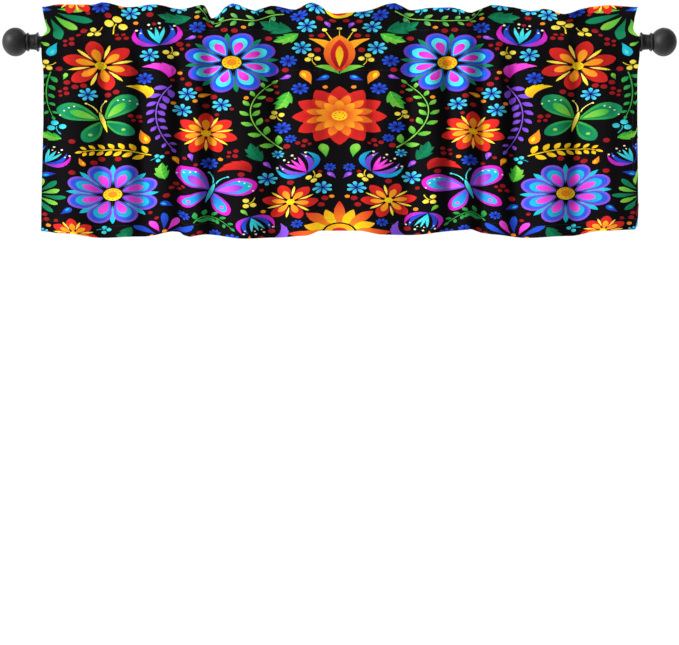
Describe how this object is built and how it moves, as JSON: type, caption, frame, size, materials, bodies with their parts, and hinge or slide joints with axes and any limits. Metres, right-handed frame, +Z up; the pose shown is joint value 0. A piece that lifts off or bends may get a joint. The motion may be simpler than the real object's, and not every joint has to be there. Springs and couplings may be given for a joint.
{
  "type": "window valance on curtain rod",
  "caption": "Short printed window valance with a ruffled header, gathered by its rod pocket on a black curtain rod with ball finials.",
  "frame": {"origin": "middle of the rod's axis", "axes": "+X along the rod, -Y towards the room (the valance's face), +Z up"},
  "size_m": [1.3624, 0.058, 0.479],
  "materials": {
    "printed_cloth": "printed polyester, a bright floral print on black, faint sheen",
    "black_metal": "satin black powder coat",
    "black_finial": "satin black lacquer with soft highlights"
  },
  "bodies": {
    "root": {"valance": "printed_cloth", "rod": "black_metal", "finial_left": "black_finial", "finial_right": "black_finial"}
  },
  "joints": []
}
